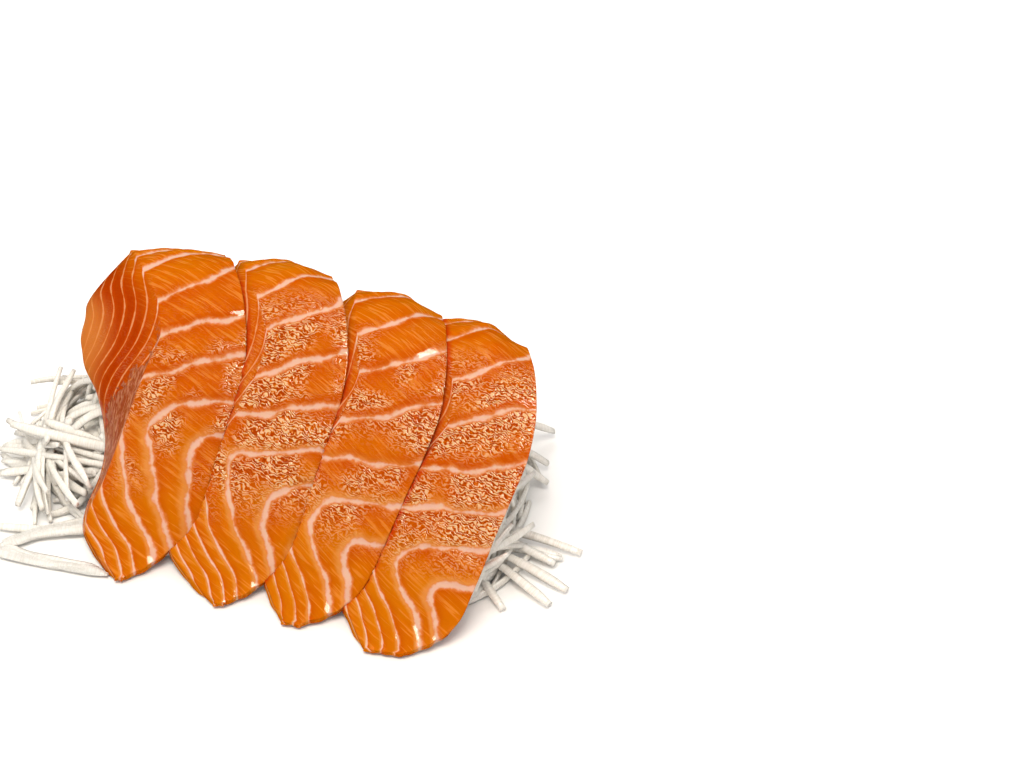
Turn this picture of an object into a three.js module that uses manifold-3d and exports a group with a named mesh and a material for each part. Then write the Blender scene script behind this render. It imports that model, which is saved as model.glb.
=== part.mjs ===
// Salmon sashimi: four overlapping slices of raw salmon draped over a bed of shredded daikon radish.
// Millimetres, +Z up. X runs along the row, from the top slice to the bottom one. Y runs from the
// tips in front to the ends behind. The origin is the middle of the footprint, on the surface below.

import * as THREE from 'three';
import Module from 'manifold-3d';

const wasm = await Module();
wasm.setup();

// Arch of a slice along its length: slopes in degrees, stretches in millimetres along the arc

const LENGTH = 86;
const FOOT_SLOPE = 12;
const FACE_SLOPE = 50;
const BACK_SLOPE = -62;
const FOOT_END = 12;
const BEND_START = 26;
const BEND_END = 88;
const TOE_HEIGHT = 2.0;

// Outline and section of a slice, as [distance along the arc, value] keys

const RIGHT_EDGE = [[0, 1], [2, 4.4], [5, 7.9], [9, 10.6], [15, 12.6], [22, 14.4], [30, 16.7],
  [37, 18.4], [43, 18.5], [50, 17.2], [58, 14.8], [72, 10.2], [LENGTH, 7]];
const CREASE = [[18, -4], [28, -0.6], [36, 2], [43, 4.4], [50, 3.2], [58, -0.8], [70, -5.4], [LENGTH, -9.5]];
const TOE_KEYS = [0, 4, 9];
const BEVEL = [[0, 0.4], [12, 1.5], [22, 3.2], [32, 8.5], [40, 14.5], [46, 16], [56, 12], [72, 4.5],
  [LENGTH, 3]];
const THICKNESS = [[0, 1.4], [8, 3.4], [20, 6.5], [40, 8], [70, 7.5], [LENGTH, 4.5]];
const ROLL = [[0, 0], [8, 0.07], [25, 0.12], [45, 0.06], [60, 0.02], [LENGTH, 0]];
const CROWN = [[0, 0.2], [10, 0.6], [40, 0.8], [LENGTH, 0.6]];
const BEVEL_BULGE = 1.6;
const CREASE_PEAK = 50;
const CREASE_SPREAD = 15;
const TUCK_PEAK = 22;
const TUCK_SPREAD = 11;
const DROOP_START = 42;
const DROOP_END = 76;

// The four slices: where the tip rests, how far the slice turns, and how it differs from the rest.
// Tip and shoulder set the left end of the tip, wide moves the right edge and crease the left one,
// tuck pushes the hidden stretch of the left edge under the slice before, and droop lowers the top right.

const SLICES = [
  { toe: [-33.4, -32.7], turn: 17.7, scale: 1.01, tip: -0.5, shoulder: -7.3, wide: 1.6, crease: 0,
    tuck: 0, droop: 0.3 },
  { toe: [-14.2, -31.5], turn: 15.8, scale: 1.045, tip: -1, shoulder: -9.8, wide: 0.4, crease: -0.3,
    tuck: 2, droop: 2 },
  { toe: [0.3, -30.9], turn: 7.4, scale: 1.011, tip: -2.6, shoulder: -8.6, wide: -0.3, crease: -2.4,
    tuck: 2, droop: 2.2 },
  { toe: [19.5, -30.7], turn: 10.1, scale: 0.996, tip: -6, shoulder: -11.4, wide: -1, crease: -2,
    tuck: 4, droop: 3 },
];
const GAP = 0.35;
const STATIONS = 28;
const TOP_STEPS = 8;
const SIDE_STEPS = 3;
const BOTTOM_STEPS = 5;

// Bed of shredded daikon: a boxy mound under the slices and a low one to the left of them. Shreds lie
// over each, within its turn round the mound and its climb up the side.

const MOUNDS = [
  { centre: [-15, 8], half: [39, 29], height: 31, lean: -0.27, rings: 7, sides: 30,
    start: -20, turn: 280, climb: 0.75, shreds: 12 },
  { centre: [-50, -4], half: [10.5, 11], height: 10, lean: 0, rings: 4, sides: 14,
    start: 90, turn: 200, climb: 1.3, shreds: 3 },
];
const MOUND_POWER = 3;
const STRAND_RADIUS = 1.05;
const STRAND_SIDES = 5;
const STRAND_STEPS = 6;
const SHRED_LENGTH = [15.3, 40.8];
const SHRED_HEIGHT = [0, 2.4];
const SHRED_SINK = [0.0105, 0.0455];
const SHRED_SWING = [-0.0175, 0.0175];

// Bundles of strands that show round the bed. A bundle fans out from its root. Its strands arch up by
// lift, bow to the left by bend and end at the height of their tips, all within these shares.

const ROOT_SPREAD = 4;
const TURN_RANGE = [-4, 4];
const REACH_RANGE = [0.8, 1.15];
const LIFT_RANGE = [0.5, 1.5];
const BEND_RANGE = [0.7, 1.3];
const TIP_RANGE = [0.8, 1.4];

const BUNDLES = [
  { root: [-46, -2, 10], heading: 168, fan: 90, count: 7, length: 15, lift: 5, bend: 0, tip: 4 },
  { root: [-45, -8, 3], heading: 184, fan: 24, count: 5, length: 24, lift: 1.5, bend: 1, tip: 1 },
  { root: [-25, -17, 1.2], heading: 206, fan: 12, count: 4, length: 36, lift: 0, bend: 6, tip: 1 },
  { root: [-25, -17, 1.2], heading: -61, fan: 0, count: 1, length: 18, lift: 0, bend: -4, tip: 1 },
  { root: [14, -1, 2.5], heading: -14, fan: 34, count: 5, length: 26, lift: 0.5, bend: 1, tip: 1 },
  { root: [8, 16, 8], heading: 20, fan: 60, count: 5, length: 19, lift: 3, bend: -2, tip: 1.5 },
  { root: [-14, 30, 8], heading: 75, fan: 70, count: 5, length: 14, lift: 3, bend: 2, tip: 2 },
  { root: [-42, 28, 8], heading: 120, fan: 80, count: 5, length: 14, lift: 3, bend: 0, tip: 3 },
];

// Nothing of the bed stands above the slices, or in the grooves between them

const GAP_FILL = 6;
const HEADROOM = 30;

// The row of slices and the bed are moved so that the origin is the middle of the footprint

const FOOTPRINT_CENTRE = [-14.07, 4.19];

const SEED = 7;
const DOME_PART = 0.97;
const LEVEL_STEP = 0.02;

const SALMON = new THREE.Color(0.76, 0.16, 0.02);
const DAIKON = new THREE.Color(0.86, 0.82, 0.72);

function smooth(x) {
  const u = Math.min(1, Math.max(0, x));
  return u * u * (3 - 2 * u);
}

// Repeatable random numbers from 0 to 1

function seeded(seed) {
  let state = seed;
  return () => {
    state = (state * 16807) % 2147483647;
    return state / 2147483647;
  };
}

function between([low, high], random) {
  return low + (high - low) * random();
}

// Smooth interpolation through [x, y] keys

function curve(keys, x) {
  const last = keys.length - 1;
  const at = Math.min(keys[last][0], Math.max(keys[0][0], x));
  let i = 0;
  while (i < last - 1 && at >= keys[i + 1][0]) {
    i += 1;
  }
  const slope = (j) => {
    const before = keys[Math.max(0, j - 1)];
    const after = keys[Math.min(last, j + 1)];
    return (after[1] - before[1]) / (after[0] - before[0]);
  };
  const step = keys[i + 1][0] - keys[i][0];
  const u = (at - keys[i][0]) / step;
  const rise = u * u * (3 - 2 * u);
  const lean = u * (1 - u) * step;
  return keys[i][1] * (1 - rise) + keys[i + 1][1] * rise
    + lean * ((1 - u) * slope(i) - u * slope(i + 1));
}

// Point on the arch at a distance along it, with the directions across and out of the slice

function archSlope(along) {
  const lift = (FACE_SLOPE - FOOT_SLOPE) * smooth(along / FOOT_END);
  const drop = (FACE_SLOPE - BACK_SLOPE) * smooth((along - BEND_START) / (BEND_END - BEND_START));
  return THREE.MathUtils.degToRad(FOOT_SLOPE + lift - drop);
}

function archPoint(slice, along) {
  const steps = 160;
  const step = along / steps;
  let run = 0;
  let rise = 0;
  for (let i = 0; i < steps; i += 1) {
    const angle = archSlope((i + 0.5) * step);
    run += Math.cos(angle) * step * slice.scale;
    rise += Math.sin(angle) * step * slice.scale;
  }
  const turn = THREE.MathUtils.degToRad(slice.turn);
  const forward = new THREE.Vector3(-Math.sin(turn), Math.cos(turn), 0);
  const across = new THREE.Vector3(Math.cos(turn), Math.sin(turn), 0);
  const angle = archSlope(along);
  const out = forward.clone().multiplyScalar(-Math.sin(angle));
  out.z = Math.cos(angle);
  const toe = new THREE.Vector3(slice.toe[0], slice.toe[1], TOE_HEIGHT + rise);
  const point = forward.multiplyScalar(run).add(toe);
  return { point, across, out };
}

function creaseAt(slice, along) {
  const toe = [slice.tip, slice.tip * 0.45 + slice.shoulder * 0.55, slice.shoulder];
  const keys = TOE_KEYS.map((x, i) => [x, toe[i]]).concat(CREASE);
  const bump = (peak, spread) => Math.exp(-(((along - peak) / spread) ** 2));
  return curve(keys, along) + slice.crease * bump(CREASE_PEAK, CREASE_SPREAD)
    - slice.tuck * bump(TUCK_PEAK, TUCK_SPREAD);
}

function rightEdgeAt(slice, along) {
  return curve(RIGHT_EDGE, along) + slice.wide * smooth((along - 4) / 8);
}

// Section across a slice: a slanting parallelogram with a crowned top and a left side that bulges.
// The faces move out by grow, and the top by headroom as well.

function section(slice, along, grow, headroom) {
  const left = creaseAt(slice, along);
  const right = rightEdgeAt(slice, along);
  const bevel = curve(BEVEL, along);
  const thick = curve(THICKNESS, along);
  const roll = curve(ROLL, along);
  const crown = curve(CROWN, along);
  const droop = slice.droop * smooth((along - DROOP_START) / (DROOP_END - DROOP_START));
  const middle = (left + right) / 2;
  const half = (right - left) / 2;
  const top = (t) => {
    const u = (t - middle) / half;
    return roll * (t - middle) + crown * (1 - u * u) - droop * smooth(u);
  };
  const slant = bevel / thick;
  const widen = grow * Math.hypot(thick, bevel) / thick;
  const loop = [];
  for (let i = 0; i <= TOP_STEPS; i += 1) {
    const f = i / TOP_STEPS;
    const level = grow + headroom;
    const t = left + (right - left) * f;
    loop.push([t + widen * (2 * f - 1) + slant * grow, top(t) + level]);
  }
  for (let i = 0; i < SIDE_STEPS; i += 1) {
    const level = grow - (thick + 2 * grow) * ((i + 1) / SIDE_STEPS);
    loop.push([right + slant * level + widen, top(right) + level]);
  }
  for (let i = 1; i <= BOTTOM_STEPS; i += 1) {
    const f = 1 - i / BOTTOM_STEPS;
    const t = left + (right - left) * f;
    loop.push([t - bevel + widen * (2 * f - 1) - slant * grow, top(t) - thick - grow]);
  }
  for (let i = 1; i < SIDE_STEPS; i += 1) {
    const f = 1 - i / SIDE_STEPS;
    const out = bevel * (1 - (1 - f) ** BEVEL_BULGE);
    loop.push([left - out - widen, top(left) + grow - (thick + 2 * grow) * f]);
  }
  return loop;
}

// Closed solid through a row of loops that all have the same number of points

function loft(rows) {
  const count = rows[0].length;
  const points = rows.flat();
  const faces = [];
  for (let i = 0; i < rows.length - 1; i += 1) {
    for (let j = 0; j < count; j += 1) {
      const a = i * count + j;
      const b = i * count + (j + 1) % count;
      faces.push(a, b, b + count, a, b + count, a + count);
    }
  }
  const middleOf = (row) => row.reduce((sum, p) => sum.add(p), new THREE.Vector3()).divideScalar(count);
  const first = points.length;
  points.push(middleOf(rows[0]), middleOf(rows[rows.length - 1]));
  const end = (rows.length - 1) * count;
  for (let j = 0; j < count; j += 1) {
    const next = (j + 1) % count;
    faces.push(first, next, j);
    faces.push(first + 1, end + j, end + next);
  }
  const vertProperties = new Float32Array(points.flatMap((p) => [p.x, p.y, p.z]));
  const triVerts = new Uint32Array(faces);
  return new wasm.Manifold(new wasm.Mesh({ numProp: 3, vertProperties, triVerts }));
}

function sliceSolid(slice, grow = 0, headroom = 0) {
  const rows = [];
  for (let i = 0; i < STATIONS; i += 1) {
    const f = i / (STATIONS - 1);
    const eased = 0.6 * f + 0.4 * (1 - Math.cos(Math.PI * f)) / 2;
    const along = LENGTH * eased + grow * 2 * (2 * f - 1);
    const { point, across, out } = archPoint(slice, along);
    rows.push(section(slice, along, grow, headroom).map(([t, n]) => {
      return point.clone().addScaledVector(across, t).addScaledVector(out, n);
    }));
  }
  return loft(rows);
}

// The largest of the loose pieces that a cut may leave

function largest(solid) {
  const pieces = solid.decompose();
  pieces.sort((a, b) => b.volume() - a.volume());
  return pieces[0];
}

// Mound: rings of points of a boxy dome that leans with the slices, closed by a flat base

function moundPoint(item, angle, climb, out) {
  const boxy = (value) => Math.sign(value) * Math.abs(value) ** (2 / MOUND_POWER);
  const reach = boxy(Math.cos(climb));
  const y = (item.half[1] * reach + out) * boxy(Math.sin(angle));
  const x = (item.half[0] * reach + out) * boxy(Math.cos(angle)) + item.lean * y;
  const z = item.height * boxy(Math.sin(climb)) + out * Math.sin(climb);
  return new THREE.Vector3(item.centre[0] + x, item.centre[1] + y, z);
}

function mound(item) {
  const rows = [];
  for (let i = 0; i <= item.rings; i += 1) {
    const climb = i / item.rings * DOME_PART * Math.PI / 2;
    const row = [];
    for (let j = 0; j < item.sides; j += 1) {
      row.push(moundPoint(item, 2 * Math.PI * j / item.sides, climb, 0));
    }
    rows.push(row);
  }
  return loft(rows);
}

// Rod: a few-sided strand through a row of points, with its flat side towards facing

function rod(centres, facing) {
  const rows = centres.map((centre, i) => {
    const before = centres[Math.max(0, i - 1)];
    const after = centres[Math.min(centres.length - 1, i + 1)];
    const ahead = after.clone().sub(before).normalize();
    const across = new THREE.Vector3().crossVectors(facing, ahead).normalize();
    const up = new THREE.Vector3().crossVectors(ahead, across);
    const row = [];
    for (let j = 0; j < STRAND_SIDES; j += 1) {
      const angle = 2 * Math.PI * j / STRAND_SIDES;
      const point = centre.clone().addScaledVector(across, STRAND_RADIUS * Math.cos(angle));
      row.push(point.addScaledVector(up, STRAND_RADIUS * Math.sin(angle)));
    }
    return row;
  });
  return loft(rows);
}

// Shred: touches the side of a mound and runs off it at both ends, bending down to it

function shred(item, random) {
  const angle = THREE.MathUtils.degToRad(item.start + item.turn * random());
  const climb = item.climb * random();
  const heading = Math.PI * random();
  const length = between(SHRED_LENGTH, random);
  const out = between(SHRED_HEIGHT, random);
  const sink = between(SHRED_SINK, random);
  const swing = between(SHRED_SWING, random);
  const point = moundPoint(item, angle, climb, 0);
  const normal = moundPoint(item, angle, climb, 1).sub(point).normalize();
  const level = moundPoint(item, angle + LEVEL_STEP, climb, 0).sub(point).normalize();
  const rise = new THREE.Vector3().crossVectors(normal, level).normalize();
  const ahead = level.multiplyScalar(Math.cos(heading)).addScaledVector(rise, Math.sin(heading));
  const side = new THREE.Vector3().crossVectors(normal, ahead);
  const centres = [];
  for (let i = 0; i <= STRAND_STEPS; i += 1) {
    const s = (i / STRAND_STEPS - 0.5) * length;
    const centre = point.clone().addScaledVector(ahead, s);
    centre.addScaledVector(normal, out - sink * s * s / 2);
    centre.addScaledVector(side, swing * s * s / 2);
    centre.z = Math.max(centre.z, STRAND_RADIUS);
    centres.push(centre);
  }
  return rod(centres, normal);
}

// Strand: leaves its root, arches up and comes down to its tip

function strand(from, heading, length, lift, bend, tip) {
  const reach = new THREE.Vector3(Math.cos(heading), Math.sin(heading), 0).multiplyScalar(length);
  const side = new THREE.Vector3(-Math.sin(heading), Math.cos(heading), 0);
  const to = from.clone().add(reach).setZ(tip);
  const over = from.clone().addScaledVector(reach, 0.5).addScaledVector(side, bend);
  over.z = Math.max(from.z, tip) + lift;
  const route = new THREE.QuadraticBezierCurve3(from, over, to);
  return rod(route.getPoints(STRAND_STEPS), new THREE.Vector3(0, 0, 1));
}

function bundle({ root, heading, fan, count, length, lift, bend, tip }, random) {
  const strands = [];
  for (let i = 0; i < count; i += 1) {
    const spread = count > 1 ? i / (count - 1) - 0.5 : 0;
    const angle = THREE.MathUtils.degToRad(heading + fan * spread + between(TURN_RANGE, random));
    const start = new THREE.Vector3(...root);
    start.x -= ROOT_SPREAD * spread * Math.sin(angle) + random();
    start.y += ROOT_SPREAD * spread * Math.cos(angle) + random();
    start.z += random() * lift;
    const reach = length * between(REACH_RANGE, random);
    const arch = lift * between(LIFT_RANGE, random);
    const bow = bend * between(BEND_RANGE, random);
    strands.push(strand(start, angle, reach, arch, bow, tip * between(TIP_RANGE, random)));
  }
  return strands;
}

function meshFrom(name, solid, color, roughness) {
  const { vertProperties, triVerts } = solid.getMesh();
  const geometry = new THREE.BufferGeometry();
  geometry.setAttribute('position', new THREE.BufferAttribute(vertProperties, 3));
  geometry.setIndex(new THREE.BufferAttribute(triVerts, 1));
  geometry.computeVertexNormals();
  const mesh = new THREE.Mesh(geometry, new THREE.MeshStandardMaterial({ color, roughness, metalness: 0 }));
  mesh.name = name;
  return mesh;
}

const group = new THREE.Group();

SLICES.forEach((slice, i) => {
  let solid = sliceSolid(slice);
  for (const above of SLICES.slice(0, i)) {
    solid = solid.subtract(sliceSolid(above, GAP));
  }
  group.add(meshFrom(`slice_${i + 1}`, largest(solid), SALMON, 0.3));
});

const random = seeded(SEED);
const strands = BUNDLES.flatMap((item) => bundle(item, random));
for (const item of MOUNDS) {
  for (let i = 0; i < item.shreds; i += 1) {
    strands.push(shred(item, random));
  }
}
let bed = wasm.Manifold.union([...MOUNDS.map(mound), ...strands]);
bed = bed.trimByPlane([0, 0, 1], 0);
for (const slice of SLICES) {
  bed = bed.subtract(sliceSolid(slice, GAP, HEADROOM));
}
for (const slice of SLICES.slice(0, -1)) {
  bed = bed.subtract(sliceSolid({ ...slice, wide: slice.wide + GAP_FILL }, GAP, HEADROOM));
}
group.add(meshFrom('daikon_bed', largest(bed), DAIKON, 0.4));
group.position.set(-FOOTPRINT_CENTRE[0], -FOOTPRINT_CENTRE[1], 0);

export default group;
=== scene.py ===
# Salmon sashimi: the looks of four overlapping slices of raw salmon on a bed of shredded daikon.
# The slices and strands repeat the forms of the solids, in millimetres, and are placed by the frame.
# On a slice, q is the distance along it, t the distance across it and n the distance out of its arch.

import math
from types import SimpleNamespace

import bpy
import numpy as np
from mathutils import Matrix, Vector
from mathutils.bvhtree import BVHTree


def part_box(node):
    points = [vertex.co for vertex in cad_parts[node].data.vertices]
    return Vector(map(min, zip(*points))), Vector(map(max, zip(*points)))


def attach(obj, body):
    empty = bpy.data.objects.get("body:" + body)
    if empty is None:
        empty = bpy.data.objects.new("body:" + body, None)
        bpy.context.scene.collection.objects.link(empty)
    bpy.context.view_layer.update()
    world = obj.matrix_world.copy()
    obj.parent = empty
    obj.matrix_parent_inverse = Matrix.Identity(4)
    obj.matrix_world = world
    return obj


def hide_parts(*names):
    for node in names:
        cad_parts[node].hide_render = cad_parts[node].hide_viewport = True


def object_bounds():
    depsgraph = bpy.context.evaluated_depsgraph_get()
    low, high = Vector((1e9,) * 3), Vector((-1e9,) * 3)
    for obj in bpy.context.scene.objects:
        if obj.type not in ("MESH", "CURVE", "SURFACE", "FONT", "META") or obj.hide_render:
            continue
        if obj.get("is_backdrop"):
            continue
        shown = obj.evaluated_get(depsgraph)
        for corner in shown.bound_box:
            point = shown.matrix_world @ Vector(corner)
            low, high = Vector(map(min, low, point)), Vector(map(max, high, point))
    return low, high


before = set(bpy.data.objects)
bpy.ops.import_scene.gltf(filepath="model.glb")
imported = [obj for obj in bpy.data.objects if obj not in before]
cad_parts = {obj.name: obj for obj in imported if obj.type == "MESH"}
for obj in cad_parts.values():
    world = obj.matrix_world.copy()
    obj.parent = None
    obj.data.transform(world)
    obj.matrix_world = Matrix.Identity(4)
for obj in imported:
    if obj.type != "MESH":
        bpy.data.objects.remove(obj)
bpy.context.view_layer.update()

MM = 0.001

# Arch of a slice along its length: slopes in degrees, stretches in millimetres along the arc

LENGTH = 86.0
FOOT_SLOPE = 12.0
FACE_SLOPE = 50.0
BACK_SLOPE = -62.0
FOOT_END = 12.0
BEND_START = 26.0
BEND_END = 88.0
TOE_HEIGHT = 2.0

# Outline and section of a slice, as (distance along the arc, value) keys

RIGHT_EDGE = [(0, 1), (2, 4.4), (5, 7.9), (9, 10.6), (15, 12.6), (22, 14.4), (30, 16.7),
              (37, 18.4), (43, 18.5), (50, 17.2), (58, 14.8), (72, 10.2), (LENGTH, 7)]
CREASE = [(18, -4), (28, -0.6), (36, 2), (43, 4.4), (50, 3.2), (58, -0.8), (70, -5.4), (LENGTH, -9.5)]
TOE_KEYS = (0, 4, 9)
TIP_SHARE = 0.45
BEVEL = [(0, 0.4), (12, 1.5), (22, 3.2), (32, 8.5), (40, 14.5), (46, 16), (56, 12), (72, 4.5), (LENGTH, 3)]
THICKNESS = [(0, 1.4), (8, 3.4), (20, 6.5), (40, 8), (70, 7.5), (LENGTH, 4.5)]
ROLL = [(0, 0), (8, 0.07), (25, 0.12), (45, 0.06), (60, 0.02), (LENGTH, 0)]
CROWN = [(0, 0.2), (10, 0.6), (40, 0.8), (LENGTH, 0.6)]
BEVEL_BULGE = 1.6
CREASE_PEAK = 50.0
CREASE_SPREAD = 15.0
TUCK_PEAK = 22.0
TUCK_SPREAD = 11.0
DROOP_START = 42.0
DROOP_END = 76.0
WIDE_START = 4.0
WIDE_END = 12.0

# The four slices

# Toe to droop are the values of the solids. Rows, spread, rungs and first place the fat lines: rows run
# across the slice, rungs run down to the tip, and first is the number of the first rung. Tissue is the
# share of brown membrane beside the crease and the strength of the painted shade on the slanted side,
# and sheen the share of wrinkled patches in the flesh, which carry painted highlights and painted shade.

SLICES = [
    dict(toe=(-33.4, -32.7), turn=17.7, scale=1.01, tip=-0.5, shoulder=-7.3, wide=1.6, crease=0,
         tuck=0, droop=0.3, rows=-1.7, spread=0.18, rungs=0.5, first=0, tissue=1, sheen=0.3),
    dict(toe=(-14.2, -31.5), turn=15.8, scale=1.045, tip=-1, shoulder=-9.8, wide=0.4, crease=-0.3,
         tuck=2, droop=2, rows=0, spread=0, rungs=0.8, first=2, tissue=0.1, sheen=1),
    dict(toe=(0.3, -30.9), turn=7.4, scale=1.011, tip=-2.6, shoulder=-8.6, wide=-0.3, crease=-2.4,
         tuck=2, droop=2.2, rows=-3, spread=-0.08, rungs=-0.2, first=2, tissue=0.1, sheen=0.7),
    dict(toe=(19.5, -30.7), turn=10.1, scale=0.996, tip=-6, shoulder=-11.4, wide=-1, crease=-2,
         tuck=4, droop=3, rows=-6.5, spread=-0.02, rungs=-2.9, first=2, tissue=0.1, sheen=1),
]

# Fineness of a slice, its rounded ends, and its gap to the slice above

STATIONS = 280
END_CROWDING = 0.2
TOP_STEPS = 66
SIDE_STEPS = 14
BOTTOM_STEPS = 34
LEFT_STEPS = 30
EDGE_PASSES = 1
END_ROWS = 5
END_ROUND = 0.5
END_SHRINK = 0.2
SLICE_GAP = 0.3
POKE = 3.0
RAY_START = 0.01
RAY_REACH = 12.0
NEAR_REACH = 3.0

# Grain of the flesh: how fast it changes with depth, and how far apart it is from slice to slice

SIDE_LEAN = 0.35
BEVEL_DEPTH = 0.3
GRAIN_SHIFT = 3.0

# Fat lines, as keys of (distance along, row number) and (distance across the tip, rung number)

ROWS = [(-1.5, 10), (5.5, 9), (12.5, 8), (19.5, 7), (26, 6), (32.6, 5), (39.4, 4), (47.8, 3), (56.8, 2),
        (71.4, 1), (81.4, 0), (121.4, -4)]
RUNGS = [(-19.2, -4), (-11.7, -1), (-9.2, 0), (-6.7, 1), (-4.1, 2), (-1.2, 3), (3.4, 4), (7.2, 5),
         (11.3, 6), (17.3, 7)]
WAVE_SHIFT = 2.0
ROW_WAVES = [(0.3, 0.42, 0.1), (0.16, 0.95, -0.2)]
RUNG_WAVES = [(0.2, 0.45, 1), (0.1, 1.1, 2)]
ROW_LEAN = [(20, 0.15), (30, 0.08), (40, 0.32), (50, 0.39), (60, 1.08)]
RUNG_LEAN = [(-10, 0.59), (0, 0.68), (8, 0.25), (16, -0.05)]
ROW_MIDDLE = 5.0
ROW_SPREAD_FROM = 30.0
RUNG_MIDDLE = 8.0
RUNG_REACH = 8.0
BEND_ROUND = 0.9
BEVEL_SPACING = 2.3
ROW_WIDTH = 0.8
RUNG_WIDTH = [(-6.7, 0.22), (-4.1, 0.26), (-1.2, 0.36), (3.4, 0.66), (7.2, 0.85), (12, 0.9)]
BEVEL_WIDTH = 0.2
BEVEL_BLEND = 0.8
PHASE_NUDGE = 0.05
MIN_PHASE_RATE = 0.02

# Relief of the flesh between the fat lines

GROOVE = 0.12
GROOVE_REACH = 0.8
TOE_GROOVE = 0.2
GROOVE_FROM = 8.0
GROOVE_FULL = 20.0
SWELL = 0.42
SWELL_LEAN = 2.0
SWELL_STEP = 7.0
RIPPLE = 0.04
RIPPLES = [(1.9, 0.7), (-0.9, 1.3)]
SIDE_GROOVE = 0.5
TOE_RELIEF_END = 3.0
TOE_WAVE = 0.3
TOE_WAVE_END = 9.0
TOE_WAVE_FADE = 8.0


def smooth(x):
    u = np.clip(x, 0, 1)
    return u * u * (3 - 2 * u)


def curve(keys, x):
    """Smooth interpolation through (x, y) keys."""
    points = np.array(keys, float)
    xs, ys = points[:, 0], points[:, 1]
    slopes = np.empty(len(xs))
    slopes[1:-1] = (ys[2:] - ys[:-2]) / (xs[2:] - xs[:-2])
    slopes[0] = (ys[1] - ys[0]) / (xs[1] - xs[0])
    slopes[-1] = (ys[-1] - ys[-2]) / (xs[-1] - xs[-2])
    at = np.clip(np.asarray(x, float), xs[0], xs[-1])
    i = np.clip(np.searchsorted(xs, at, side="right") - 1, 0, len(xs) - 2)
    step = xs[i + 1] - xs[i]
    u = (at - xs[i]) / step
    rise = u * u * (3 - 2 * u)
    lean = u * (1 - u) * step
    return ys[i] * (1 - rise) + ys[i + 1] * rise + lean * ((1 - u) * slopes[i] - u * slopes[i + 1])


# Arch of a slice

ARCH_STEPS = 1720
arch_along = np.linspace(0, LENGTH, ARCH_STEPS + 1)


def arch_slope(along):
    lift = (FACE_SLOPE - FOOT_SLOPE) * smooth(along / FOOT_END)
    drop = (FACE_SLOPE - BACK_SLOPE) * smooth((along - BEND_START) / (BEND_END - BEND_START))
    return np.radians(FOOT_SLOPE + lift - drop)


def running_sum(values):
    step = arch_along[1] - arch_along[0]
    return np.concatenate([[0], np.cumsum((values[1:] + values[:-1]) / 2 * step)])


arch_run = running_sum(np.cos(arch_slope(arch_along)))
arch_rise = running_sum(np.sin(arch_slope(arch_along)))


def arch_frame(piece, along):
    """Points on the arch, the direction across it, and the directions out of it."""
    turn = math.radians(piece["turn"])
    forward = np.array([-math.sin(turn), math.cos(turn), 0])
    across = np.array([math.cos(turn), math.sin(turn), 0])
    up = np.array([0, 0, 1.0])
    angle = arch_slope(along)[:, None]
    run = (np.interp(along, arch_along, arch_run) * piece["scale"])[:, None]
    rise = (np.interp(along, arch_along, arch_rise) * piece["scale"])[:, None]
    toe = np.array([*piece["toe"], TOE_HEIGHT])
    return toe + run * forward + rise * up, across, up * np.cos(angle) - forward * np.sin(angle)


def crease_at(piece, along):
    corner = piece["tip"] * TIP_SHARE + piece["shoulder"] * (1 - TIP_SHARE)
    toe = (piece["tip"], corner, piece["shoulder"])
    keys = list(zip(TOE_KEYS, toe)) + CREASE
    bump = np.exp(-((along - CREASE_PEAK) / CREASE_SPREAD) ** 2)
    tuck = np.exp(-((along - TUCK_PEAK) / TUCK_SPREAD) ** 2)
    return curve(keys, along) + piece["crease"] * bump - piece["tuck"] * tuck


def right_edge_at(piece, along):
    return curve(RIGHT_EDGE, along) + piece["wide"] * smooth((along - WIDE_START) / (WIDE_END - WIDE_START))


def sections(piece, along):
    """Loops round a slice: t and n, distances beyond the crease and under the face, and the face's kind."""
    q = along[:, None]
    left, right = crease_at(piece, q), right_edge_at(piece, q)
    bevel, thick = curve(BEVEL, q), curve(THICKNESS, q)
    middle, half = (left + right) / 2, (right - left) / 2
    droop = piece["droop"] * smooth((q - DROOP_START) / (DROOP_END - DROOP_START))

    def top(t):
        u = (t - middle) / half
        return curve(ROLL, q) * (t - middle) + curve(CROWN, q) * (1 - u * u) - droop * smooth(u)

    f = np.linspace(0, 1, TOP_STEPS + 1)[None, :]
    t_top = left + (right - left) * f
    f = np.linspace(0, 1, SIDE_STEPS + 1)[None, 1:]
    t_side = right - bevel * f
    n_side = top(right) - thick * f
    w_side = -np.hypot(bevel, thick) * f
    f = np.linspace(1, 0, BOTTOM_STEPS + 1)[None, 1:]
    t_bottom = left + (right - left) * f
    f = np.linspace(1, 0, LEFT_STEPS + 1)[None, 1:-1]
    out = bevel * (1 - (1 - f) ** BEVEL_BULGE)
    t_left = left - out
    w_left = np.hypot(out, thick * f)
    t = np.concatenate([t_top, t_side, t_bottom - bevel, t_left], 1)
    n = np.concatenate([top(t_top), n_side, top(t_bottom) - thick, top(left) - thick * f], 1)
    beyond = np.concatenate([0 * t_top, 0 * w_side, 0 * t_bottom, w_left], 1)
    under = np.concatenate([0 * t_top, -w_side, 0 * t_bottom + thick, 0 * t_left], 1)
    kind = np.concatenate([0 * t_top, 0 * t_side + 1, 0 * t_bottom + 2, 0 * t_left + 3], 1)
    return t, n, beyond, under, kind


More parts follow.
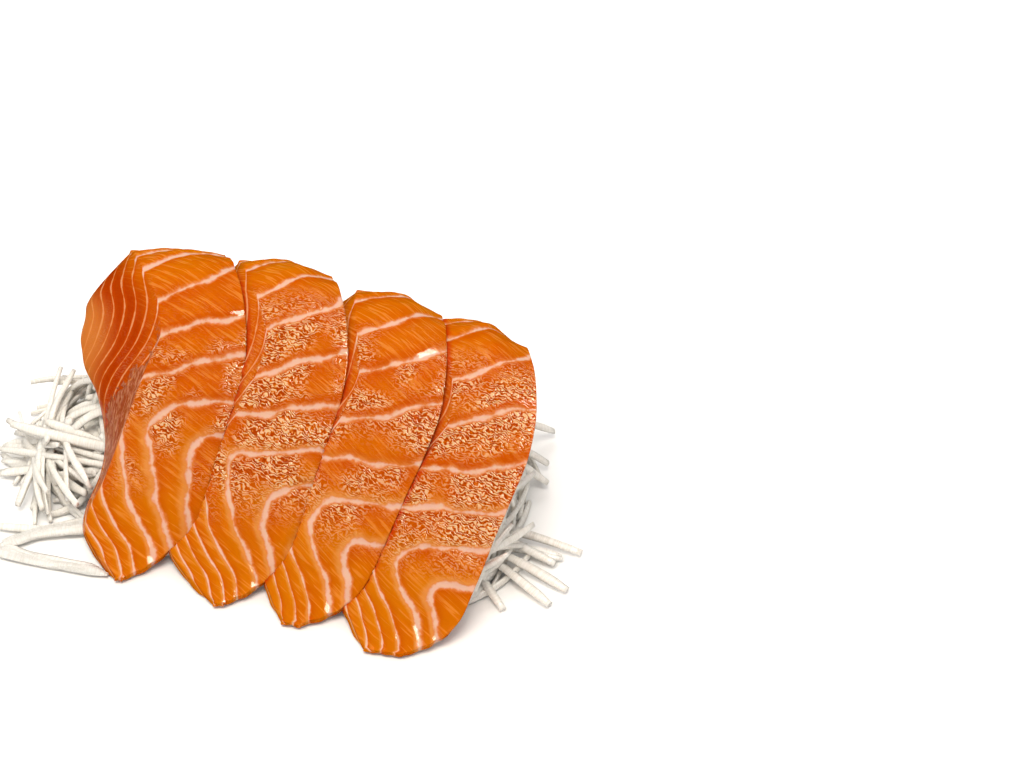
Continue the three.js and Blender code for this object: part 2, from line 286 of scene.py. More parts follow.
def fat_phase(piece, q, t, beyond):
    """A number that is whole along the fat lines, and half the width of a line."""
    shift = WAVE_SHIFT * piece["toe"][0]
    waves = sum(size * np.sin(rate_t * t + rate_q * q + shift) for size, rate_t, rate_q in ROW_WAVES)
    row_at = q - piece["rows"] + piece["spread"] * (q - ROW_SPREAD_FROM)
    row_at = row_at - curve(ROW_LEAN, q) * (t - ROW_MIDDLE)
    rows = curve(ROWS, row_at + waves)
    rung_lean = curve(RUNG_LEAN, t) * RUNG_REACH * np.tanh((q - RUNG_MIDDLE) / RUNG_REACH)
    rung_at = t - piece["rungs"] + rung_lean
    for size, rate, shifts in RUNG_WAVES:
        rung_at = rung_at + size * np.sin(rate * q + shifts * shift)
    rungs = curve(RUNGS, rung_at) + piece["first"]
    gap = np.clip(BEND_ROUND - abs(rows - rungs), 0, None)
    phase = np.minimum(rows, rungs) - gap * gap / (4 * BEND_ROUND)
    share = smooth(rungs - rows + 0.5)
    width = curve(RUNG_WIDTH, rung_at) * (1 - share) + ROW_WIDTH * share
    width = width + (BEVEL_WIDTH - width) * smooth(beyond / BEVEL_BLEND)
    return phase - beyond / BEVEL_SPACING, width


def fat_values(piece, q, t, beyond):
    """Phase of the fat lines, millimetres from line to line, and half the width of a line."""
    phase, width = fat_phase(piece, q, t, beyond)
    along = (fat_phase(piece, q + PHASE_NUDGE, t, beyond)[0] - phase) / (PHASE_NUDGE * piece["scale"])
    inside = (fat_phase(piece, q, t + PHASE_NUDGE, beyond)[0] - phase) / PHASE_NUDGE
    outside = (fat_phase(piece, q, t, beyond + PHASE_NUDGE)[0] - phase) / PHASE_NUDGE
    across = np.where(beyond > 0, outside, inside)
    return phase, 1 / np.maximum(np.hypot(along, across), MIN_PHASE_RATE), width


# Meshes

def new_mesh(name, points, faces, smooth_shading=True):
    mesh = bpy.data.meshes.new(name)
    mesh.from_pydata(points, [], faces)
    mesh.update()
    if smooth_shading:
        mesh.polygons.foreach_set("use_smooth", [True] * len(mesh.polygons))
    piece = bpy.data.objects.new(name, mesh)
    bpy.context.scene.collection.objects.link(piece)
    return piece


def add_attribute(piece, name, values):
    values = np.asarray(values, np.float32)
    kind = "FLOAT_VECTOR" if values.ndim == 2 else "FLOAT"
    layer = piece.data.attributes.new(name, kind, "POINT")
    layer.data.foreach_set("vector" if values.ndim == 2 else "value", values.ravel())


def tube_faces(rows, count):
    """Quads of a row of loops, and fans onto the two points that follow them."""
    a = np.arange(rows - 1)[:, None] * count + np.arange(count)[None, :]
    b = np.arange(rows - 1)[:, None] * count + (np.arange(count)[None, :] + 1) % count
    quads = np.stack([a, b, b + count, a + count], -1).reshape(-1, 4).tolist()
    first, end = rows * count, (rows - 1) * count
    for j in range(count):
        following = (j + 1) % count
        quads.append((first, following, j))
        quads.append((first + 1, end + j, end + following))
    return quads


def round_edges(values, passes):
    for _ in range(passes):
        values = values * 0.5 + (np.roll(values, 1, 1) + np.roll(values, -1, 1)) * 0.25
    return values


def relief(phase, step, width, q, t, kind):
    """Height of the flesh over its plain faces: it swells between the fat lines, most just above each."""
    away = abs(phase - np.round(phase)) * step
    depth = TOE_GROOVE + (1 - TOE_GROOVE) * smooth((q - GROOVE_FROM) / (GROOVE_FULL - GROOVE_FROM))
    groove = -GROOVE * width * np.exp(-(away / (width * GROOVE_REACH)) ** 2) * depth
    part = phase - np.floor(phase)
    swell = SWELL * np.sin(np.pi * part ** SWELL_LEAN) * smooth(step / SWELL_STEP)
    ripple = RIPPLE * sum(np.sin(rate_q * q + rate_t * t) for rate_q, rate_t in RIPPLES)
    return np.where(kind == 0, groove + swell + ripple, SIDE_GROOVE * groove)


def slice_points(piece):
    """Points of a slice before its ends are rounded, and what the material needs to know of each."""
    f = np.linspace(0, 1, STATIONS)
    along = LENGTH * ((1 - END_CROWDING) * f + END_CROWDING * (1 - np.cos(np.pi * f)) / 2)
    t, n, beyond, under, kind = sections(piece, along)
    t, n = round_edges(t, EDGE_PASSES), round_edges(n, EDGE_PASSES)
    q = np.repeat(along[:, None], t.shape[1], 1)
    left, right = crease_at(piece, q), right_edge_at(piece, q)
    inner_t = np.clip(t, left, right) + np.where(kind == 2, curve(BEVEL, q), 0)
    phase, step, width = fat_values(piece, q + SIDE_LEAN * under, inner_t, beyond)
    points, across, out = arch_frame(piece, along)
    n = n + relief(phase, step, width, q, t, kind) * smooth(q / TOE_RELIEF_END)
    place = points[:, None, :] + t[..., None] * across + n[..., None] * out[:, None, :]
    ahead = np.cross(out, across)[:, None, :]
    away_q, away_t = q - TOE_WAVE_END, t - piece["tip"]
    reach = np.hypot(away_q, away_t) + 1e-6
    fade = smooth((TOE_WAVE_END - q) / TOE_WAVE_FADE)
    wave = TOE_WAVE * (2 * abs(phase - np.round(phase)) - 0.5) * fade
    place = place + wave[..., None] * (away_t / reach)[..., None] * across
    place = place + wave[..., None] * (away_q / reach)[..., None] * ahead
    depth = under + beyond * BEVEL_DEPTH + GRAIN_SHIFT * piece["toe"][0]
    values = {"grain": np.stack([q, inner_t - beyond, depth], -1), "fat_phase": phase, "fat_step": step,
              "fat_width": width, "beyond": beyond, "under": under}
    return place, values, out


def round_ends(rows):
    """Adds shrinking rows at both ends of an array of rows of points."""
    def cap(row, neighbour):
        centre = row.mean(0)
        outward = centre - neighbour.mean(0)
        outward /= np.linalg.norm(outward)
        angles = np.linspace(0, 0.5 * np.pi, END_ROWS + 1)[1:]
        shrink = 1 - END_SHRINK * (1 - np.cos(angles))
        out = outward * END_ROUND
        return [centre + (row - centre) * s + out * np.sin(a) for s, a in zip(shrink, angles)]

    first = cap(rows[0], rows[1])[::-1]
    last = cap(rows[-1], rows[-2])
    return np.concatenate([first, rows, last])


def pad_rows(values):
    return np.concatenate([np.repeat(values[:1], END_ROWS, 0), values, np.repeat(values[-1:], END_ROWS, 0)])


def slice_data(piece):
    """Loops of points of a whole slice, the way out of its face at each loop, and its points' values."""
    place, values, out = slice_points(piece)
    return round_ends(place), pad_rows(out), {label: pad_rows(value) for label, value in values.items()}


def closed_points(rows):
    return np.concatenate([rows.reshape(-1, 3), rows[0].mean(0)[None], rows[-1].mean(0)[None]])


def closed_values(values):
    flat = values.reshape(-1, *values.shape[2:])
    return np.concatenate([flat, values[0].mean(0)[None], values[-1].mean(0)[None]])


def tree_of(rows):
    faces = tube_faces(rows.shape[0], rows.shape[1])
    return BVHTree.FromPolygons(closed_points(rows).tolist(), faces)


def press_under(rows, out, above):
    """Moves the points of a slice that are in, just over or too near the slice above it to under it."""
    for i in range(rows.shape[0]):
        up = Vector(out[i])
        for j in range(rows.shape[1]):
            point = Vector(rows[i, j])
            hit, normal, _, distance = above.ray_cast(point - up * SLICE_GAP, up, RAY_REACH)
            if hit is None:
                over, normal, _, _ = above.ray_cast(point, -up, POKE)
                if over is None or normal.dot(up) < 0:
                    continue
                point = over - up * RAY_START
            if normal.dot(up) > 0:
                below = above.ray_cast(point, -up, RAY_REACH)[0]
                if below is not None:
                    rows[i, j] = below - up * SLICE_GAP
            elif distance < 2 * SLICE_GAP:
                rows[i, j] = point - up * (2 * SLICE_GAP - distance)
    return rows


def nearness(rows, above):
    """Distance of every point of a slice to the slice that lies over it."""
    distances = [above.find_nearest(Vector(point), NEAR_REACH)[3] for point in rows.reshape(-1, 3)]
    found = [NEAR_REACH if distance is None else distance for distance in distances]
    return np.array(found).reshape(rows.shape[:2])


# Materials

def material_tools(name):
    """A new material with its shader, and short functions that add nodes to it."""
    material = bpy.data.materials.new(name)
    material.use_nodes = True
    tree = material.node_tree
    shader = tree.nodes["Principled BSDF"]

    def node(kind, inputs=None, **settings):
        made = tree.nodes.new(kind)
        for key, value in settings.items():
            setattr(made, key, value)
        for key, value in (inputs or {}).items():
            if isinstance(value, bpy.types.NodeSocket):
                tree.links.new(value, made.inputs[key])
            else:
                made.inputs[key].default_value = value
        return made

    def maths(operation, a, b=0.0, clamp=False):
        return node("ShaderNodeMath", {0: a, 1: b}, operation=operation, use_clamp=clamp).outputs[0]

    def plus(a, b):
        return maths("ADD", a, b)

    def minus(a, b):
        return maths("SUBTRACT", a, b)

    def times(a, b):
        return maths("MULTIPLY", a, b)

    def attribute(label, output="Fac"):
        return node("ShaderNodeAttribute", attribute_name=label).outputs[output]

    def ramp(value, low, high, a=0.0, b=1.0):
        """Smooth step that gives a where the value is low and b where it is high."""
        made = node("ShaderNodeMapRange", {"Value": value, "From Min": low, "From Max": high,
                                           "To Min": a, "To Max": b}, interpolation_type="SMOOTHSTEP")
        return made.outputs["Result"]

    def mix(factor, a, b):
        made = node("ShaderNodeMix", data_type="RGBA")
        for socket, value in ((made.inputs[0], factor), (made.inputs[6], a), (made.inputs[7], b)):
            if isinstance(value, bpy.types.NodeSocket):
                tree.links.new(value, socket)
            else:
                socket.default_value = value
        return made.outputs[2]

    def noise(vector, scale, detail, rough, distortion=0.0, stretch=(1, 1, 1), turn=0.0):
        mapped = node("ShaderNodeMapping", {"Vector": vector, "Scale": stretch,
                                            "Rotation": (0, 0, math.radians(turn))}, vector_type="TEXTURE")
        made = node("ShaderNodeTexNoise", {"Vector": mapped.outputs[0], "Scale": scale, "Detail": detail,
                                           "Roughness": rough, "Distortion": distortion})
        return made.outputs["Fac"]

    return SimpleNamespace(material=material, tree=tree, shader=shader, node=node, maths=maths, plus=plus,
                           minus=minus, times=times, attribute=attribute, ramp=ramp, mix=mix, noise=noise)


# Colours of the salmon, with painted shade and painted highlights among them

RED_FLESH = (0.445, 0.072, 0.0003, 1)
GOLDEN_FLESH = (0.480, 0.116, 0.0006, 1)
FIBRE = (0.60, 0.15, 0.004, 1)
THREAD = (0.65, 0.24, 0.04, 1)
# Painted shade on the slanted side, which faces away from the light
BEVEL_SHADE = (0.31, 0.027, 0.0002, 1)
# Painted shade on the smooth strip just above each fat line
STRIP_SHADE = (0.42, 0.048, 0.0003, 1)
# Painted shade just below each fat line
BELOW_LINE_SHADE = (0.41, 0.046, 0.0003, 1)
ABOVE_LINE = (0.52, 0.165, 0.0012, 1)
HALO = (0.58, 0.23, 0.055, 1)
# Painted shade in the valleys of the squiggles
VALLEY_SHADE = (0.30, 0.030, 0.0002, 1)
# Painted highlights on the ridges of the squiggles
RIDGE_HIGHLIGHT = (0.64, 0.38, 0.20, 1)
# Painted shade on the undercut right sides and the undersides of a slice
UNDERSIDE_SHADE = (0.50, 0.025, 0.002, 1)
# Painted shade where a slice lies close under the one above it
CONTACT_SHADE = (0.40, 0.018, 0.001, 1)
FAT_EDGE = (0.56, 0.18, 0.045, 1)
FAT_CORE = (0.62, 0.36, 0.26, 1)
THIN_FAT = (0.60, 0.23, 0.06, 1)
DARK_TISSUE = (0.21, 0.042, 0.014, 1)
PALE_TISSUE = (0.42, 0.17, 0.09, 1)
OUTER_EDGE = (0.54, 0.185, 0.035, 1)

# Squiggles on the flesh, with painted highlights on their ridges and painted shade in their valleys: waves
# a millimetre, how far noise bends them, and how their patches lie

WAVE_ALONG = 10.5
WAVE_ASIDE = 3.2
WAVE_BEND = 34.0
PATCH_SIZE = 0.11
PATCH_SHIFT = 17.3
PATCH_LOSS = 0.22


def salmon_lines(kit, at):
    """Fat lines: each point's distance to the nearest one, in widths of the line, made uneven by noise."""
    whole = kit.maths("FRACT", kit.plus(at.phase, 0.5))
    away = kit.times(kit.maths("ABSOLUTE", kit.minus(whole, 0.5)), at.step)
    thinning = kit.noise(at.grain, 0.28, 1.0, 0.5)
    uneven = kit.plus(kit.ramp(at.wobble, 0.25, 0.75, -0.2, 0.2), kit.ramp(thinning, 0.3, 0.7, -0.25, 0.4))
    uneven = kit.plus(uneven, kit.ramp(at.broken, 0.3, 0.7, -0.1, 0.1))
    at.distance = kit.maths("DIVIDE", kit.plus(away, kit.times(uneven, at.width)), at.width)
    at.fat = kit.ramp(at.distance, 0.25, 1.3, 1.0, 0.0)
    at.part = kit.maths("FRACT", at.phase)


def salmon_squiggles(kit, at):
    """Masks of the wet, wrinkled patches between the fat lines, which get painted highlights and shade, and
    of the smooth strip above each line, which gets painted shade.
    """
    segment = kit.times(kit.maths("FLOOR", at.phase), PATCH_SHIFT)
    shift = kit.node("ShaderNodeCombineXYZ", {2: segment}).outputs[0]
    apart = kit.node("ShaderNodeVectorMath", {0: at.grain, 1: shift}, operation="ADD").outputs[0]
    loss = kit.times(kit.minus(1.0, kit.attribute("sheen")), PATCH_LOSS)
    patches = kit.minus(kit.noise(apart, PATCH_SIZE, 1.5, 0.5), loss)
    band = kit.times(kit.ramp(at.along, 12.0, 24.0), kit.ramp(at.along, 46.0, 58.0, 1.0, 0.0))
    # The smooth strip above each line, which the colour darkens with painted shade
    at.strip = kit.times(kit.ramp(at.part, 0.74, 0.86), kit.times(band, kit.ramp(at.along, 24.0, 34.0)))
    # The wrinkled patches get painted highlights and painted shade in the colour, and a glossier, bumped
    # surface
    rough = kit.times(band, kit.ramp(patches, 0.31, 0.55, 0.04, 1.2))
    rough = kit.times(rough, kit.minus(1.0, kit.times(at.strip, 0.85)))
    rough = kit.times(rough, kit.ramp(at.fat, 0.2, 0.7, 1.0, 0.2))
    at.rough = kit.times(rough, kit.ramp(at.beyond, 0.1, 0.8, 1.0, 0.1))
    wave = kit.plus(kit.times(at.along, WAVE_ALONG), kit.times(at.aside, WAVE_ASIDE))
    wave = kit.maths("SINE", kit.plus(wave, kit.times(kit.noise(at.grain, 0.55, 2.0, 0.6), WAVE_BEND)))
    at.wrinkle = kit.plus(wave, kit.ramp(at.broken, 0.35, 0.65, -0.7, 0.7))


def salmon_flesh(kit, at):
    """Colour of the flesh with its fibres, squiggles with painted highlights, and painted shade along the fat
    lines, on the slanted side, on the undersides and under the slice above.
    """
    threads = kit.noise(at.grain, 1.0, 1.0, 0.5, 0.3, (6.0, 0.42, 3.0), 124)
    blotches = kit.noise(at.grain, 0.1, 2.0, 0.5)
    toe, back = kit.ramp(at.along, 8.0, 22.0, 1.0, 0.0), kit.ramp(at.along, 52.0, 66.0, 0.0, 0.8)
    golden = kit.times(kit.maths("ADD", toe, back, clamp=True), 0.6)
    golden = kit.maths("ADD", golden, kit.ramp(blotches, 0.3, 0.7, -0.1, 0.5), clamp=True)
    flesh = kit.mix(golden, RED_FLESH, GOLDEN_FLESH)
    flesh = kit.mix(kit.ramp(at.fibres, 0.42, 0.75, 0.0, 0.40), flesh, FIBRE)
    flesh = kit.mix(kit.ramp(threads, 0.56, 0.64, 0.0, 0.42), flesh, THREAD)
    # Painted shade on the slanted side beyond the crease, as strong as the slice's tissue share
    film = kit.times(kit.ramp(at.beyond, 0.1, 5.5, 0.2, 0.95), at.film)
    flesh = kit.mix(kit.times(film, kit.ramp(at.beyond, 0.0, 0.1)), flesh, BEVEL_SHADE)
    # Painted shade on the smooth strip just above each fat line
    flesh = kit.mix(kit.times(at.strip, 0.45), flesh, STRIP_SHADE)
    # Painted shade just below each fat line, fading towards the middle of the band
    flesh = kit.mix(kit.ramp(at.part, 0.0, 0.45, 0.55, 0.0), flesh, BELOW_LINE_SHADE)
    lower = kit.ramp(at.along, 22.0, 34.0, 1.0, 0.0)
    flesh = kit.mix(kit.times(kit.ramp(at.part, 0.45, 1.0, 0.0, 0.55), lower), flesh, ABOVE_LINE)
    halo = kit.times(kit.ramp(at.distance, 0.7, 2.4, 0.75, 0.0), kit.ramp(at.part, 0.5, 0.7))
    flesh = kit.mix(kit.times(halo, lower), flesh, HALO)
    # Painted shade in the valleys of the squiggles in the wrinkled patches
    flesh = kit.mix(kit.times(kit.ramp(at.wrinkle, -0.1, -1.1, 0.0, 0.8), at.rough), flesh, VALLEY_SHADE)
    # Painted highlights on the ridges of the squiggles in the wrinkled patches
    flesh = kit.mix(kit.times(kit.ramp(at.wrinkle, -0.1, 0.8, 0.0, 0.9), at.rough), flesh, RIDGE_HIGHLIGHT)
    # Painted shade on the undercut right sides and the undersides, deeper with distance under the face
    flesh = kit.mix(kit.ramp(at.under, 0.3, 4.0, 0.0, 0.5), flesh, UNDERSIDE_SHADE)
    # Painted shade where the slice lies close under the one above it
    return kit.mix(kit.ramp(at.near, 0.2, 1.3, 0.8, 0.0), flesh, CONTACT_SHADE)


def salmon_skin(kit, at):
    """Share of brown membrane, which lies along the slanted side near the crease."""
    span = kit.times(kit.ramp(at.along, 28.0, 42.0, 7.0, 0.8), kit.ramp(at.along, 14.0, 26.0, 0.2, 1.0))
    edge = kit.minus(at.beyond, kit.plus(span, kit.ramp(at.wobble, 0.3, 0.7, -1.5, 1.5)))
    skin = kit.times(kit.ramp(edge, -0.8, 0.4, 1.0, 0.0), kit.ramp(at.beyond, 0.0, 0.5))
    ends = kit.times(kit.ramp(at.along, 10.0, 18.0), kit.ramp(at.along, 40.0, 50.0, 1.0, 0.0))
    return kit.times(kit.times(skin, ends), at.film)


def salmon_material():
    kit = material_tools("salmon")
    grain = kit.attribute("grain", "Vector")
    axes = kit.node("ShaderNodeSeparateXYZ", {0: grain})
    at = SimpleNamespace(
        grain=grain, along=axes.outputs[0], aside=axes.outputs[1], phase=kit.attribute("fat_phase"),
        step=kit.attribute("fat_step"), width=kit.attribute("fat_width"), beyond=kit.attribute("beyond"),
        under=kit.attribute("under"), near=kit.attribute("near"), film=kit.attribute("tissue"),
        wobble=kit.noise(grain, 0.8, 3.0, 0.55), broken=kit.noise(grain, 1.4, 1.0, 0.5),
        fibres=kit.noise(grain, 1.0, 2.0, 0.55, 0.0, (7.0, 0.42, 3.0), 128))
    salmon_lines(kit, at)
    salmon_squiggles(kit, at)
    fat = kit.mix(kit.ramp(at.distance, 0.1, 0.8, 1.0, 0.0), FAT_EDGE, FAT_CORE)
    fat = kit.mix(kit.ramp(at.beyond, 0.2, 1.5, 0.0, 0.7), fat, THIN_FAT)
    colour = kit.mix(kit.times(at.fat, kit.ramp(at.beyond, 0.2, 1.5, 1.0, 0.75)), salmon_flesh(kit, at), fat)
    skin = salmon_skin(kit, at)
    specks = kit.noise(grain, 1.0, 2.0, 0.6, 0.6, (1.5, 0.4, 0.4), 12)
    tissue = kit.mix(kit.ramp(specks, 0.4, 0.7), DARK_TISSUE, PALE_TISSUE)
    colour = kit.mix(kit.times(skin, 0.85), colour, tissue)
    colour = kit.mix(kit.times(kit.ramp(at.beyond, 8.0, 15.0), 0.65), colour, OUTER_EDGE)
    height = kit.plus(kit.times(at.wrinkle, kit.plus(at.rough, 0.04)), kit.times(at.fibres, 0.5))
    height = kit.plus(height, kit.times(kit.times(specks, skin), 6.0))
    bump = kit.node("ShaderNodeBump", {"Strength": 1.0, "Distance": 0.00004, "Height": height})
    kit.tree.links.new(colour, kit.shader.inputs["Base Color"])
    kit.tree.links.new(bump.outputs[0], kit.shader.inputs["Normal"])
    kit.tree.links.new(bump.outputs[0], kit.shader.inputs["Coat Normal"])
    kit.tree.links.new(kit.ramp(at.rough, 0.0, 1.0, 0.6, 0.3), kit.shader.inputs["Roughness"])
    kit.shader.inputs["IOR"].default_value = 1.40
    kit.shader.inputs["Subsurface Weight"].default_value = 0.3
    kit.shader.inputs["Subsurface Radius"].default_value = (1.0, 0.25, 0.05)
    kit.shader.inputs["Subsurface Scale"].default_value = 0.0018
    kit.shader.inputs["Specular IOR Level"].default_value = 0.0
    kit.shader.inputs["Coat Weight"].default_value = 0.5
    kit.shader.inputs["Coat Roughness"].default_value = 0.08
    kit.shader.inputs["Coat IOR"].default_value = 1.6
    return kit.material


def daikon_material():
    kit = material_tools("daikon")
    streak = kit.noise(kit.attribute("grain", "Vector"), 1.0, 3.0, 0.6, 0.2, (0.25, 2.2, 2.2))
    colour = kit.mix(kit.ramp(streak, 0.3, 0.7), (0.74, 0.70, 0.63, 1), (0.86, 0.83, 0.78, 1))
    bump = kit.node("ShaderNodeBump", {"Strength": 0.4, "Distance": 0.0002, "Height": streak})
    kit.tree.links.new(colour, kit.shader.inputs["Base Color"])
    kit.tree.links.new(bump.outputs[0], kit.shader.inputs["Normal"])
    kit.shader.inputs["Roughness"].default_value = 0.32
    kit.shader.inputs["Subsurface Weight"].default_value = 0.25
    kit.shader.inputs["Subsurface Radius"].default_value = (1.0, 0.95, 0.88)
    kit.shader.inputs["Subsurface Scale"].default_value = 0.0008
    kit.shader.inputs["Coat Weight"].default_value = 0.3
    kit.shader.inputs["Coat Roughness"].default_value = 0.2
    return kit.material


# Bed of daikon: the mounds and bundles of the solids, and the shreds that cover them

MOUNDS = [
    dict(centre=(-15.0, 8.0), half=(39.0, 29.0), height=31.0, lean=-0.27, start=-20, turn=280,
         climb=0.75, shreds=12, cover=420, cover_start=-70, cover_turn=335),
    dict(centre=(-50.0, -4.0), half=(10.5, 11.0), height=10.0, lean=0.0, start=90, turn=200,
         climb=1.3, shreds=3, cover=130, cover_start=70, cover_turn=230),
]
MOUND_POWER = 3.0
SHRED_LOWEST = 1.05
STRAND_STEPS = 26
STRAND_SIDES = 8
STRAND_HALF = (0.92, 0.62)
STRAND_POWER = 4.0
STRAND_SWELL = 0.08
STRAND_TWIST = 0.7
TAPER_SHARE = 0.12
SHRED_LENGTH = (15.3, 40.8)
SHRED_HEIGHT = (0.0, 2.4)
SHRED_SINK = (0.0105, 0.0455)
SHRED_SWING = (-0.0175, 0.0175)
COVER_RADIUS = (0.55, 0.95)
ROOT_SPREAD = 4.0
TURN_RANGE = (-4.0, 4.0)
REACH_RANGE = (0.8, 1.15)
LIFT_RANGE = (0.5, 1.5)
BEND_RANGE = (0.7, 1.3)
TIP_RANGE = (0.8, 1.4)
BUNDLES = [
    dict(root=(-46, -2, 10), heading=168, fan=90, count=7, length=15, lift=5, bend=0, tip=4),
    dict(root=(-45, -8, 3), heading=184, fan=24, count=5, length=24, lift=1.5, bend=1, tip=1),
    dict(root=(-25, -17, 1.2), heading=206, fan=12, count=4, length=36, lift=0, bend=6, tip=1),
    dict(root=(-25, -17, 1.2), heading=-61, fan=0, count=1, length=18, lift=0, bend=-4, tip=1),
    dict(root=(14, -1, 2.5), heading=-14, fan=34, count=5, length=26, lift=0.5, bend=1, tip=1),
    dict(root=(8, 16, 8), heading=20, fan=60, count=5, length=19, lift=3, bend=-2, tip=1.5),
    dict(root=(-14, 30, 8), heading=75, fan=70, count=5, length=14, lift=3, bend=2, tip=2),
    dict(root=(-42, 28, 8), heading=120, fan=80, count=5, length=14, lift=3, bend=0, tip=3),
]
LOOSE = [
    dict(start=(-63.6, -3.1, 8), over=(-58, -5.8, 9.5), end=(-53.1, -7.6, 7), count=1, radius=0.85),
    dict(start=(-69.5, -9.8, 1), over=(-63, -7.5, 3), end=(-54, -2.5, 4), count=2, radius=0.8),
    dict(start=(-67, -13.3, 1.2), over=(-57, -13.0, 2.5), end=(-44, -8.5, 2), count=4, radius=1.0),
    dict(start=(-57.3, -33.4, 1), over=(-52, -26.8, 1.5), end=(-42, -21.5, 2), count=5, radius=0.9),
    dict(start=(-57.0, -33.9, 1), over=(-46.7, -35.0, 1), end=(-33, -30.5, 1), count=5, radius=0.9),
    dict(start=(-30.5, -18, 1), over=(-24.5, -26.5, 1.2), end=(-18.0, -33.3, 1), count=1, radius=1.0),
    dict(start=(18, -2, 2), over=(28, -0.5, 2.5), end=(37, 1.2, 1), count=2, radius=0.8),
    dict(start=(20, -1.5, 2), over=(30, -4.5, 1), end=(38.2, -10.1, 1), count=1, radius=0.6),
    dict(start=(-31, 31, 10), over=(-29.5, 39, 19), end=(-22.5, 43.5, 20.5), count=1, radius=0.7),
]
LOOSE_SPREAD = (-1.4, 1.4)
SEED = 7


def seeded(seed):
    """Repeatable random numbers from 0 to 1, the same as those of the solids."""
    state = seed
    while True:
        state = (state * 16807) % 2147483647
        yield state / 2147483647


def between(span, random):
    return span[0] + (span[1] - span[0]) * next(random)


def bundle_routes(random):
    """Middle lines of the strands that the solids show, as arrays of points."""
    routes = []
    f = np.linspace(0, 1, STRAND_STEPS + 1)[:, None]
    for item in BUNDLES:
        for i in range(item["count"]):
            spread = i / (item["count"] - 1) - 0.5 if item["count"] > 1 else 0
            angle = math.radians(item["heading"] + item["fan"] * spread + between(TURN_RANGE, random))
            start = np.array(item["root"], float)
            start[0] -= ROOT_SPREAD * spread * math.sin(angle) + next(random)
            start[1] += ROOT_SPREAD * spread * math.cos(angle) + next(random)
            start[2] += next(random) * item["lift"]
            reach = item["length"] * between(REACH_RANGE, random)
            lift = item["lift"] * between(LIFT_RANGE, random)
            bend = item["bend"] * between(BEND_RANGE, random)
            tip = item["tip"] * between(TIP_RANGE, random)
            ahead = np.array([math.cos(angle), math.sin(angle), 0]) * reach
            side = np.array([-math.sin(angle), math.cos(angle), 0])
            end = start + ahead
            end[2] = tip
            over = start + ahead * 0.5 + side * bend
            over[2] = max(start[2], tip) + lift
            routes.append(start * (1 - f) ** 2 + over * 2 * f * (1 - f) + end * f * f)
    return routes


def mound_point(mound, angle, climb, out=0.0):
    """Point on a boxy mound, or out from it by some distance."""
    def boxy(value):
        return np.sign(value) * abs(value) ** (2 / MOUND_POWER)
    angle, climb = np.asarray(angle, float), np.asarray(climb, float)
    reach = boxy(np.cos(climb))
    y = (mound["half"][1] * reach + out) * boxy(np.sin(angle))
    x = (mound["half"][0] * reach + out) * boxy(np.cos(angle)) + mound["lean"] * y
    z = mound["height"] * boxy(np.sin(climb)) + out * np.sin(climb)
    return np.stack(np.broadcast_arrays(mound["centre"][0] + x, mound["centre"][1] + y, z), -1)


def unit(vector):
    return vector / np.linalg.norm(vector)


def shred_route(mound, random):
    """A shred that touches the side of a mound and runs off it at both ends, and the way out there."""
    angle = math.radians(mound["start"] + mound["turn"] * next(random))
    climb = mound["climb"] * next(random)
    heading = math.radians(180 * next(random))
    length = between(SHRED_LENGTH, random)
    out = between(SHRED_HEIGHT, random)
    sink = between(SHRED_SINK, random)
    swing = between(SHRED_SWING, random)
    point = mound_point(mound, angle, climb)
    normal = unit(mound_point(mound, angle, climb, 1.0) - point)
    level = unit(mound_point(mound, angle + 0.02, climb) - point)
    rise = unit(np.cross(normal, level))
    ahead = level * math.cos(heading) + rise * math.sin(heading)
    side = np.cross(normal, ahead)
    s = np.linspace(-0.5, 0.5, STRAND_STEPS + 1)[:, None] * length
    route = point + ahead * s + normal * (out - sink * s * s / 2) + side * (swing * s * s / 2)
    route[:, 2] = np.clip(route[:, 2], SHRED_LOWEST, None)
    return route, normal


def loose_routes(random):
    """Loose strands that lie by themselves, as arrays of points."""
    routes = []
    f = np.linspace(0, 1, STRAND_STEPS + 1)[:, None]
    for item in LOOSE:
        for i in range(item["count"]):
            points = [np.array(item[key], float) for key in ("start", "over", "end")]
            spread = min(i, 1)
            for point in points:
                point[:2] += [between(LOOSE_SPREAD, random) * spread, between(LOOSE_SPREAD, random) * spread]
            routes.append(points[0] * (1 - f) ** 2 + points[1] * 2 * f * (1 - f) + points[2] * f * f)
    return routes


def strand_rows(route, facing, radius, phase, taper):
    """Loops of a slightly flattened, slightly twisted strand along a route."""
    ahead = np.gradient(route, axis=0)
    ahead /= np.linalg.norm(ahead, axis=1, keepdims=True)
    across = np.cross(facing, ahead)
    across /= np.linalg.norm(across, axis=1, keepdims=True) + 1e-9
    up = np.cross(ahead, across)
    f = np.linspace(0, 1, len(route))
    size = radius * (taper + (1 - taper) * smooth(np.minimum(f, 1 - f) / TAPER_SHARE))
    size = size * (1 + STRAND_SWELL * np.sin(9 * f + phase))
    twist = STRAND_TWIST * np.sin(3 * f + phase)
    angles = np.linspace(0, 2 * np.pi, STRAND_SIDES, endpoint=False)
    boxy = abs(np.cos(angles)) ** STRAND_POWER + abs(np.sin(angles)) ** STRAND_POWER
    corner = boxy ** (-1 / STRAND_POWER)
    rows = []
    for i in range(len(route)):
        a = angles + twist[i]
        ring = across[i] * (np.cos(a) * corner * STRAND_HALF[0])[:, None]
        ring = ring + up[i] * (np.sin(a) * corner * STRAND_HALF[1])[:, None]
        rows.append(route[i] + ring * size[i])
    return np.array(rows)


# How the strands of the bed fit under the slices

